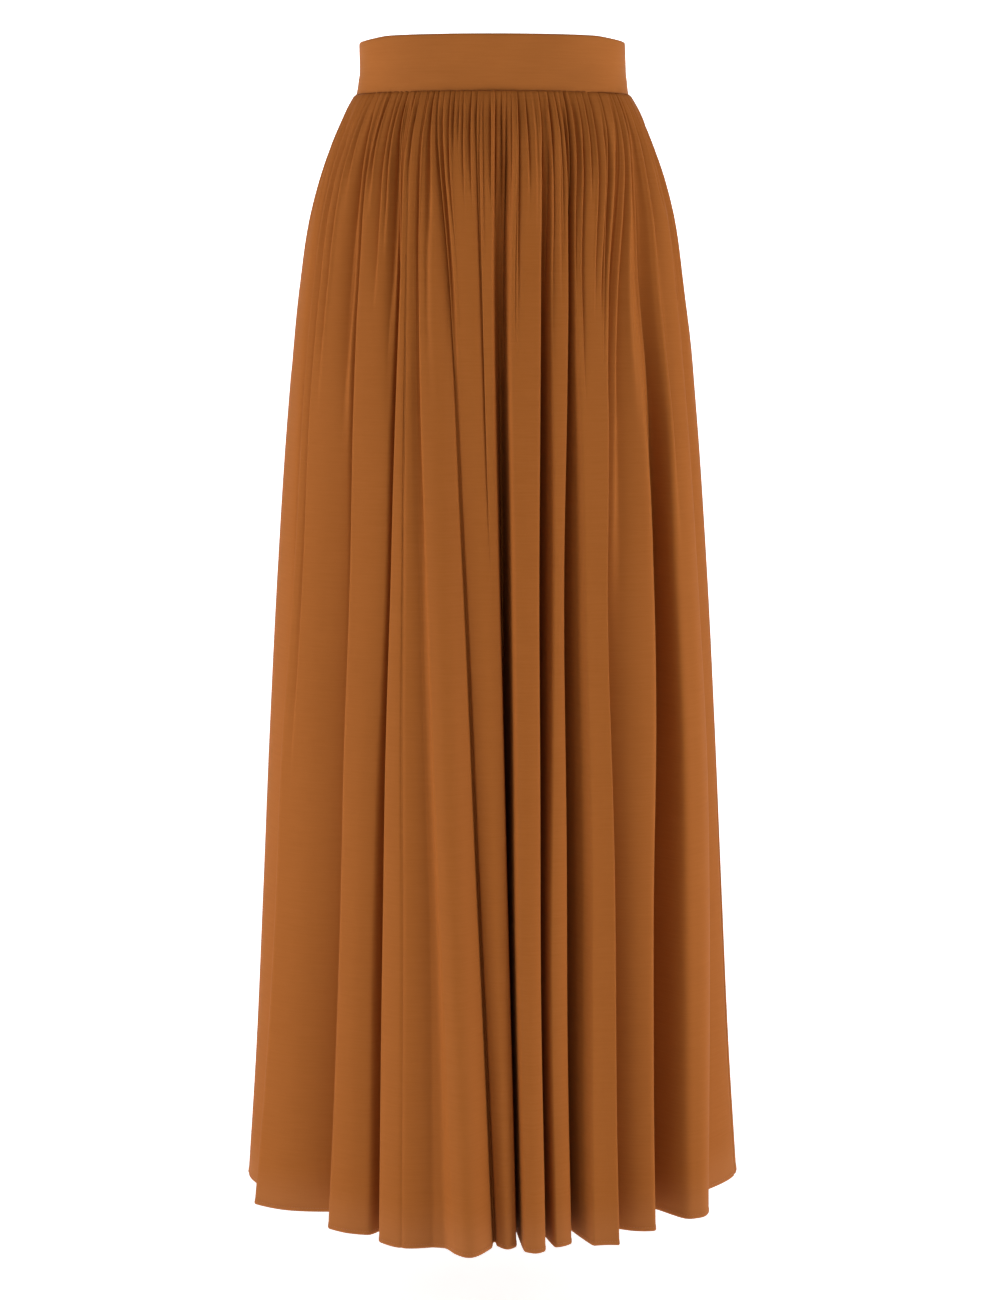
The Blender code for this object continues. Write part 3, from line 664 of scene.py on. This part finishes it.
def make_hem_stitches(name, columns):
    """The row of small stitches that holds a panel's rolled hem."""
    below = SKIRT_LENGTH - STITCH_ABOVE_HEM
    line = cloth_line(below, columns)
    out = outward(line)
    arcs = arc_lengths(line)
    count = int((arcs[-1] - 2 * STITCH_FROM_SEAM) / STITCH_PITCH)
    height = -BAND_HEIGHT / 2 - SEAM_GAP - below
    points, faces = [], []
    for i in range(count):
        at = STITCH_FROM_SEAM + (i + 0.5) * STITCH_PITCH
        centre = np.array([np.interp(at, arcs, line[:, k]) for k in (0, 1)])
        ahead = np.array([np.interp(at + 0.5, arcs, line[:, k]) for k in (0, 1)])
        across = np.array([np.interp(at, arcs, out[:, k]) for k in (0, 1)])
        along = (ahead - centre) / np.linalg.norm(ahead - centre)
        across = across / np.linalg.norm(across)
        surface = centre + across * (CLOTH_THICKNESS / 2 + HEM_SWELL - STITCH_SINK)
        append_mesh(points, faces, *thread_stitch(
            np.array((*surface, height)), np.array((*along, 0.0)), np.array((*across, 0.0))))
    stitches = mesh_object(name + "_hem_stitches", points, faces)
    stitches.data.materials.append(MATERIALS["thread"])
    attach(stitches, "skirt")
    return stitches


# ------------------------------------------------------------------ waistband
BAND_PIECES = (
    # name, first and last angle
    ("waistband_front", -90.0, 90.0),
    ("waistband_back_right", 90.0, 180.0),
    ("waistband_back_left", 180.0, 270.0),
)
BAND_STEP = 0.75         # degrees between columns
BAND_GAP = 0.1           # between the pieces of the band
BAND_END_TURN = 0.7      # how far a piece's ends turn in
BAND_END_WIDTH = 1.2
# The band's slow waves: rows of the height, waves round the waist, mm a radian, phase
BAND_WAVES = ((0.35, 5, 14.0, 0.0), (0.2, 11, -9.0, 2.0))
PUCKER_HEIGHT = 0.28
PUCKERS = 46             # round the waist
PUCKER_REACH = 4.0       # up from the seam
SEAM_ROLL = (0.35, 6.0, 5.0)     # a slight hollow: its depth, its place above the seam, its width
SIDE_DIP = 2.4           # how far the band's top edge dips at the sides
SIDE_DIP_FROM = 0.82     # the sine of the angle where the dip starts


def band_profile():
    """The band's cross-section, round it from the outer bottom edge: (height, inset)."""
    half = BAND_HEIGHT / 2
    outer = [(-half, 1.8), (-half + 0.3, 1.5), (-half + 0.9, 1.3), (-half + 2.2, 1.1)]
    outer += [(height, float(smooth_step(-half + 11.0, -half + 1.0, height)))
              for height in np.linspace(-half + 4.0, half - 3.5, 15)]
    top = [(half - 1.5, 0.05), (half - 0.7, 0.25), (half - 0.15, 0.7), (half, 1.3),
           (half - 0.15, 1.9), (half - 0.7, 2.35), (half - 1.6, BAND_WALL)]
    inner = [(height, BAND_WALL) for height in np.linspace(half - 4.0, -half + 1.5, 9)]
    return outer + top + inner + [(-half + 0.4, BAND_WALL - 0.3), (-half, BAND_WALL - 0.8)]


def band_ripple(angle, height):
    """The band is firm: it waves very slightly, and puckers just above the gathered seam."""
    turn = np.radians(angle)
    slow = sum(amount * np.sin(around * turn + height / rate + phase)
               for amount, around, rate, phase in BAND_WAVES)
    near_seam = math.exp(-((height + BAND_HEIGHT / 2) / PUCKER_REACH) ** 2)
    puckers = PUCKER_HEIGHT * np.sin(PUCKERS * turn + 2 * np.sin(5 * turn)) * near_seam
    depth, above, width = SEAM_ROLL
    roll = -depth * math.exp(-((height + BAND_HEIGHT / 2 - above) / width) ** 2)
    return slow + puckers + roll


def side_share(angle):
    """1 at the skirt's two sides, falling to 0 towards the front and the back."""
    return smooth_step(SIDE_DIP_FROM, 1.0, np.abs(np.sin(np.radians(angle))))


def make_band_piece(name, first, last):
    """A stretch of the waistband as a closed, soft-edged strip."""
    profile = band_profile()
    count = round((last - first) / BAND_STEP)
    angles = np.linspace(first, last, count + 1)
    gap = math.degrees(BAND_GAP / 2 / band_radius(first, 0.0))
    angles[0] += gap
    angles[-1] -= gap
    points, uvs = [], []
    for height, inset in profile:
        radius = band_radius(angles, height)
        ends = np.minimum(angles - first, last - angles) * math.pi / 180 * radius
        turned_in = BAND_END_TURN * np.exp(-(ends / BAND_END_WIDTH) ** 2)
        side = 1.0 if inset < BAND_WALL / 2 else -1.0
        ripple = band_ripple(angles, height)
        line = on_circle(angles, radius - inset + ripple - side * turned_in)
        lowered = SIDE_DIP * smooth_step(0.0, BAND_HEIGHT / 2, height) * side_share(angles)
        points.append(np.column_stack((line, height - lowered)))
        uvs.append(np.column_stack((arc_lengths(line), np.full(len(angles), height))) * MM)
    wide = len(angles)
    deep = len(profile)
    faces = []
    for r in range(deep):
        after = (r + 1) % deep
        for c in range(wide - 1):
            faces.append((r * wide + c, r * wide + c + 1, after * wide + c + 1, after * wide + c))
    faces.append(tuple(r * wide for r in range(deep)))
    faces.append(tuple(r * wide + wide - 1 for r in reversed(range(deep))))
    band = mesh_object(name + "_cloth", np.concatenate(points), faces, np.concatenate(uvs))
    band.data.materials.append(MATERIALS["band"])
    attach(band, "skirt")
    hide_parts(name)


# ------------------------------------------------------------------ materials
CLOTH_COLOUR = (0.341, 0.1025, 0.0172, 1.0)
CLOTH_LIGHT = (0.370, 0.1145, 0.0212, 1.0)
# painted light: the lighter, rosier colour just above the hem, for light showing through the cloth
CLOTH_PAINTED_HEM_LIGHT = (0.40, 0.140, 0.042, 1.0)
BAND_COLOUR = (0.382, 0.1215, 0.0245, 1.0)
BAND_LIGHT = (0.413, 0.136, 0.029, 1.0)
THREAD_COLOUR = (0.40, 0.15, 0.045, 1.0)
METAL_COLOUR = (0.62, 0.42, 0.2, 1.0)
TAPE_COLOUR = (0.27, 0.095, 0.028, 1.0)
TEETH_COLOUR = (0.24, 0.085, 0.022, 1.0)
SLUB_ACROSS = 28.0       # noise cells per metre along a crosswise thread
SLUB_ALONG = 620.0       # and down the cloth
GRAIN = 1500.0
HEM_PAINTED_GLOW_HEIGHT = 0.05          # height of the painted light above the hem, a lighter, rosier stretch that stands in for light showing through the cloth, in metres


def new_material(name, colour, roughness, metallic=0.0):
    """A material and its shader."""
    material = bpy.data.materials.new(name)
    material.use_nodes = True
    shader = material.node_tree.nodes["Principled BSDF"]
    shader.inputs["Base Color"].default_value = colour
    shader.inputs["Roughness"].default_value = roughness
    shader.inputs["Metallic"].default_value = metallic
    return material, shader


def add_node(tree, kind, **values):
    """A node with some of its inputs or settings given by name."""
    node = tree.nodes.new(kind)
    for key, value in values.items():
        if key in node.inputs:
            node.inputs[key].default_value = value
        else:
            setattr(node, key, value)
    return node


def add_bump(tree, height, shader, strength, distance):
    """Relief on a shader, from an output that gives its height."""
    bump = add_node(tree, "ShaderNodeBump", Strength=strength, Distance=distance)
    tree.links.new(height, bump.inputs["Height"])
    tree.links.new(bump.outputs["Normal"], shader.inputs["Normal"])


def add_wear(tree, shader, scale, detail, least, most):
    """Roughness that varies finely between two values."""
    place = add_node(tree, "ShaderNodeTexCoord")
    noise = add_node(tree, "ShaderNodeTexNoise", Scale=scale, Detail=detail)
    tree.links.new(place.outputs["Object"], noise.inputs["Vector"])
    rough = add_node(tree, "ShaderNodeMapRange")
    rough.inputs["To Min"].default_value = least
    rough.inputs["To Max"].default_value = most
    tree.links.new(noise.outputs["Fac"], rough.inputs["Value"])
    tree.links.new(rough.outputs["Result"], shader.inputs["Roughness"])


def cloth_material(name, colour, light, painted_glow):
    """Soft matte crepe: fine crosswise slubs in colour and relief, with painted light at the hem if
    asked: a lighter, rosier stretch that stands in for light showing through the cloth.
    """
    material, shader = new_material(name, colour, 0.75)
    shader.inputs["Specular IOR Level"].default_value = 0.1
    shader.inputs["Sheen Weight"].default_value = 0.04
    shader.inputs["Sheen Roughness"].default_value = 0.5
    shader.inputs["Sheen Tint"].default_value = (1.0, 0.55, 0.25, 1.0)
    tree = material.node_tree
    link = tree.links.new
    place = add_node(tree, "ShaderNodeUVMap", uv_map="cloth")
    stretched = add_node(tree, "ShaderNodeMapping", Scale=(SLUB_ACROSS, SLUB_ALONG, 1.0))
    link(place.outputs["UV"], stretched.inputs["Vector"])
    slub = add_node(tree, "ShaderNodeTexNoise", noise_dimensions="2D", Scale=1.0, Detail=3.0,
                    Roughness=0.62)
    link(stretched.outputs["Vector"], slub.inputs["Vector"])
    grain = add_node(tree, "ShaderNodeTexNoise", noise_dimensions="2D", Scale=GRAIN, Detail=1.0)
    link(place.outputs["UV"], grain.inputs["Vector"])
    cloudy = add_node(tree, "ShaderNodeTexNoise", noise_dimensions="2D", Scale=9.0, Detail=2.0)
    link(place.outputs["UV"], cloudy.inputs["Vector"])

    threads = add_node(tree, "ShaderNodeMix", data_type="RGBA")
    threads.inputs["A"].default_value = colour
    threads.inputs["B"].default_value = light
    tone = add_node(tree, "ShaderNodeMath", operation="MULTIPLY_ADD")
    link(slub.outputs["Fac"], tone.inputs[0])
    tone.inputs[1].default_value = 1.6
    tone.inputs[2].default_value = -0.45
    blurred = add_node(tree, "ShaderNodeMath", operation="ADD", use_clamp=True)
    link(tone.outputs["Value"], blurred.inputs[0])
    soft = add_node(tree, "ShaderNodeMath", operation="MULTIPLY_ADD")
    link(cloudy.outputs["Fac"], soft.inputs[0])
    soft.inputs[1].default_value = 0.5
    soft.inputs[2].default_value = -0.25
    link(soft.outputs["Value"], blurred.inputs[1])
    link(blurred.outputs["Value"], threads.inputs["Factor"])
    woven = threads.outputs["Result"]
    # painted light: the colour turns lighter and rosier towards the hem, as if lit through the
    # cloth
    if painted_glow:
        split = add_node(tree, "ShaderNodeSeparateXYZ")
        link(place.outputs["UV"], split.inputs["Vector"])
        painted_hem_light_mask = add_node(tree, "ShaderNodeMapRange", clamp=True)
        painted_hem_light_mask.interpolation_type = "SMOOTHSTEP"
        painted_hem_light_mask.inputs["From Min"].default_value = -SKIRT_LENGTH * MM + HEM_PAINTED_GLOW_HEIGHT
        painted_hem_light_mask.inputs["From Max"].default_value = -SKIRT_LENGTH * MM
        painted_hem_light_mask.inputs["To Max"].default_value = 0.55
        link(split.outputs["Y"], painted_hem_light_mask.inputs["Value"])
        painted_hem_light_mix = add_node(tree, "ShaderNodeMix", data_type="RGBA")
        link(painted_hem_light_mask.outputs["Result"], painted_hem_light_mix.inputs["Factor"])
        link(woven, painted_hem_light_mix.inputs["A"])
        painted_hem_light_mix.inputs["B"].default_value = CLOTH_PAINTED_HEM_LIGHT
        woven = painted_hem_light_mix.outputs["Result"]
    link(woven, shader.inputs["Base Color"])

    relief = add_node(tree, "ShaderNodeMath", operation="MULTIPLY_ADD")
    link(grain.outputs["Fac"], relief.inputs[0])
    relief.inputs[1].default_value = 0.5
    link(slub.outputs["Fac"], relief.inputs[2])
    add_bump(tree, relief.outputs["Value"], shader, 0.28, 0.00022)
    return material


def thread_material():
    """Twisted sewing thread, a little lighter than the cloth."""
    material, shader = new_material("sewing_thread", THREAD_COLOUR, 0.45)
    shader.inputs["Sheen Weight"].default_value = 0.2
    tree = material.node_tree
    place = add_node(tree, "ShaderNodeTexCoord")
    twist = add_node(tree, "ShaderNodeTexNoise", Scale=2600.0, Detail=1.0)
    tree.links.new(place.outputs["Object"], twist.inputs["Vector"])
    add_bump(tree, twist.outputs["Fac"], shader, 0.3, 0.0001)
    return material


def metal_material():
    """Satin gold-coloured metal with fine wear."""
    material, shader = new_material("zip_metal", METAL_COLOUR, 0.32, 1.0)
    add_wear(material.node_tree, shader, 900.0, 3.0, 0.24, 0.44)
    return material


def tape_material():
    """Plain woven zip tape."""
    material, shader = new_material("zip_tape_cloth", TAPE_COLOUR, 0.8)
    tree = material.node_tree
    place = add_node(tree, "ShaderNodeTexCoord")
    ribs = add_node(tree, "ShaderNodeTexWave", Scale=420.0, Distortion=0.6)
    ribs.bands_direction = "Z"
    tree.links.new(place.outputs["Object"], ribs.inputs["Vector"])
    add_bump(tree, ribs.outputs["Fac"], shader, 0.4, 0.0002)
    return material


def teeth_material():
    """Moulded nylon teeth, dyed to match the cloth."""
    material, shader = new_material("zip_nylon", TEETH_COLOUR, 0.35)
    add_wear(material.node_tree, shader, 700.0, 2.0, 0.28, 0.45)
    return material


MATERIALS = {
    "cloth": cloth_material("crepe", CLOTH_COLOUR, CLOTH_LIGHT, True),
    "band": cloth_material("crepe_band", BAND_COLOUR, BAND_LIGHT, False),
    "thread": thread_material(),
    "metal": metal_material(),
    "tape": tape_material(),
    "teeth": teeth_material(),
}


# ------------------------------------------------------------------ zip
TEETH_TOP = 17.0         # mm above the band's middle
TOOTH_PITCH = 1.5
TOOTH_SIZE = (1.9, 1.1, 0.8)     # across the tape, out of it, along it
TOOTH_NARROW = 0.6       # a tooth's width at its inner side, as a share
TOOTH_SHIFT = 0.7        # a tooth's middle from the zip's line
TOOTH_SINK = 0.15        # into the tape
TAPE_STITCHES_AT = 8.6   # from the zip's line, on both sides
TAPE_STITCH_PITCH = 3.0
TAPE_END = 3.0           # plain tape below the last tooth
TAPE_MIDDLE = 1.5        # points nearer than this to the zip's line are on the tape's middle
BOX_FACES = ((0, 1, 3, 2), (4, 6, 7, 5), (0, 4, 5, 1), (2, 3, 7, 6), (0, 2, 6, 4), (1, 5, 7, 3))


def tape_line():
    """The inner face of the zip's tape along its middle: heights and depths, in mm, from below."""
    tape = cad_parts["zip_tape"]
    points = np.array([tuple(tape.matrix_world @ v.co) for v in tape.data.vertices]) / MM
    middle = points[np.abs(points[:, 0]) < TAPE_MIDDLE]
    heights = np.unique(np.round(middle[:, 2], 1))
    depths = [middle[np.abs(middle[:, 2] - height) < 0.2][:, 1].min() for height in heights]
    return heights, np.array(depths)


def box(centre, size):
    """Points of a small block whose inner side is narrower, as a moulded tooth is."""
    points = []
    for x in (-0.5, 0.5):
        for y in (-0.5, 0.5):
            for z in (-0.5, 0.5):
                narrow = TOOTH_NARROW if y < 0 else 1.0
                points.append(np.array(centre) + np.array(size) * (x * narrow, y, z * narrow))
    return points


def zip_piece(name, points, faces, finish):
    """A piece of the zip, sewn in with it."""
    piece = mesh_object(name, points, faces)
    piece.data.materials.append(MATERIALS[finish])
    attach(piece, "skirt")


def make_zip_teeth():
    """Two rows of small teeth that mesh on the zip's line, inside the skirt."""
    heights, depths = tape_line()
    points, faces = [], []
    count = int((TEETH_TOP - heights[0] - TAPE_END) / TOOTH_PITCH)
    for i in range(2 * count):
        height = TEETH_TOP - i * TOOTH_PITCH / 2
        side = 1 if i % 2 else -1
        depth = np.interp(height, heights, depths) - TOOTH_SIZE[1] / 2 + TOOTH_SINK
        tooth = box((side * TOOTH_SHIFT, depth, height), TOOTH_SIZE)
        append_mesh(points, faces, tooth, BOX_FACES)
    zip_piece("zip_teeth", points, faces, "teeth")


def make_tape_stitches():
    """The stitches that hold the tape to the seam allowances."""
    heights, depths = tape_line()
    points, faces = [], []
    count = int((TEETH_TOP - heights[0] - TAPE_END) / TAPE_STITCH_PITCH)
    for side in (-1, 1):
        for i in range(count):
            height = TEETH_TOP - (i + 0.5) * TAPE_STITCH_PITCH
            x = side * TAPE_STITCHES_AT
            depth = np.interp(height, heights, depths)
            depth -= x * x / (2 * depth)
            append_mesh(points, faces, *thread_stitch(
                np.array((x, depth, height)), UPRIGHT,
                np.array((0.0, -1.0, 0.0)), np.array((1.0, 0.0, 0.0))))
    zip_piece("zip_tape_stitches", points, faces, "thread")


def dress_zip():
    """The zip's own solids have the right shape: they get their finishes here."""
    for node, finish in (("zip_tape", "tape"), ("zip_slider", "metal"), ("zip_pull", "metal")):
        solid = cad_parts[node]
        solid.data.materials.clear()
        solid.data.materials.append(MATERIALS[finish])
    make_zip_teeth()
    make_tape_stitches()


# ------------------------------------------------------------------ studio
CAMERA_AT = (0.007, -2.080, -0.1365)
CAMERA_PITCH = 78.9      # degrees from straight down
LENS = 60.65
FLOOR_Z = -1.20
FLOOR_FRONT = -4.0
FLOOR_BACK = 4.6
COVE_RADIUS = 1.2
COVE_STEPS = 12
COVE_TOP = 3.2
STAGE_HALF_WIDTH = 5.0
FLOOR_GLOW = 0.62        # the stage's own light near the skirt, rising from GLOW_FROM to GLOW_TO
BACKDROP_GLOW = 1.0
GLOW_FROM = -0.2
GLOW_TO = 0.6

AREA_LIGHTS = (
    # name, place, size across, size up, power
    ("left_softbox", (-1.9, -0.72, -0.15), 1.1, 2.2, 30.5),
    ("right_softbox", (1.9, -0.72, -0.15), 1.1, 2.2, 30.0),
    ("front_left", (-1.35, -2.3, 0.1), 0.8, 1.8, 4.0),
    ("front_right", (1.35, -2.3, 0.1), 0.8, 1.8, 3.0),
)
LIGHT_COLOUR = (1.0, 0.99, 0.97)
LIGHTS_AIM = Vector((0.0, 0.0, -0.5))
WORLD_STRENGTH = 0.05


def make_camera():
    """The camera at the photo's height and viewing angle."""
    data = bpy.data.cameras.new("camera")
    data.lens = LENS
    data.sensor_width = 36.0
    camera = bpy.data.objects.new("camera", data)
    camera.location = CAMERA_AT
    camera.rotation_euler = (math.radians(CAMERA_PITCH), 0.0, 0.0)
    bpy.context.scene.collection.objects.link(camera)
    bpy.context.scene.camera = camera


def make_lights():
    """Two soft lights at the skirt's sides, two faint ones in front and a faint white world."""
    for name, place, across, up, power in AREA_LIGHTS:
        data = bpy.data.lights.new(name, "AREA")
        data.shape = "RECTANGLE"
        data.size, data.size_y = across, up
        data.energy = power
        data.color = LIGHT_COLOUR
        light = bpy.data.objects.new(name, data)
        light.location = place
        light.rotation_euler = (LIGHTS_AIM - Vector(place)).to_track_quat("-Z", "Y").to_euler()
        bpy.context.scene.collection.objects.link(light)
    world = bpy.data.worlds.new("studio")
    world.use_nodes = True
    background = world.node_tree.nodes["Background"]
    background.inputs["Color"].default_value = (1.0, 1.0, 1.0, 1.0)
    background.inputs["Strength"].default_value = WORLD_STRENGTH
    bpy.context.scene.world = world


def make_stage():
    """A plain pale floor that curves up into a backdrop, with painted light: it glows by itself,
    faintest near the skirt and brightest on the backdrop.
    """
    outline = [(FLOOR_FRONT, FLOOR_Z), (FLOOR_BACK - COVE_RADIUS, FLOOR_Z)]
    for i in range(1, COVE_STEPS + 1):
        turn = math.radians(90.0 * i / COVE_STEPS)
        outline.append((FLOOR_BACK - COVE_RADIUS + COVE_RADIUS * math.sin(turn),
                        FLOOR_Z + COVE_RADIUS * (1 - math.cos(turn))))
    outline.append((FLOOR_BACK, COVE_TOP))
    points = [(x, y, z) for y, z in outline for x in (-STAGE_HALF_WIDTH, STAGE_HALF_WIDTH)]
    faces = [(2 * i, 2 * i + 1, 2 * i + 3, 2 * i + 2) for i in range(len(outline) - 1)]
    stage = mesh_object("studio_floor", np.array(points) / MM, faces)
    material, shader = new_material("pale_floor_painted_glow", (0.93, 0.93, 0.93, 1.0), 0.9)
    # painted light: the stage gives off light of its own, though it is no lamp
    shader.inputs["Emission Strength"].default_value = 1.0
    tree = material.node_tree
    place = add_node(tree, "ShaderNodeTexCoord")
    split = add_node(tree, "ShaderNodeSeparateXYZ")
    tree.links.new(place.outputs["Object"], split.inputs["Vector"])
    painted_glow = add_node(tree, "ShaderNodeMapRange", clamp=True)
    painted_glow.interpolation_type = "SMOOTHSTEP"
    for key, value in (("From Min", GLOW_FROM), ("From Max", GLOW_TO),
                       ("To Min", FLOOR_GLOW), ("To Max", BACKDROP_GLOW)):
        painted_glow.inputs[key].default_value = value
    tree.links.new(split.outputs["Y"], painted_glow.inputs["Value"])
    tree.links.new(painted_glow.outputs["Result"], shader.inputs["Emission Color"])
    stage.data.materials.append(material)


def main():
    """Dress the skirt piece by piece, then set up the studio."""
    for name, from_fold, from_place, to_fold, to_place, waist_width, hem_width in PANELS:
        start, end = place_of(from_fold, from_place), place_of(to_fold, to_place)
        make_panel(name, start, end + (ROUND if end < start else 0))
    for name, first, last in BAND_PIECES:
        make_band_piece(name, first, last)
    dress_zip()
    make_camera()
    make_lights()
    make_stage()
    bpy.context.scene.view_settings.view_transform = "Standard"


main()
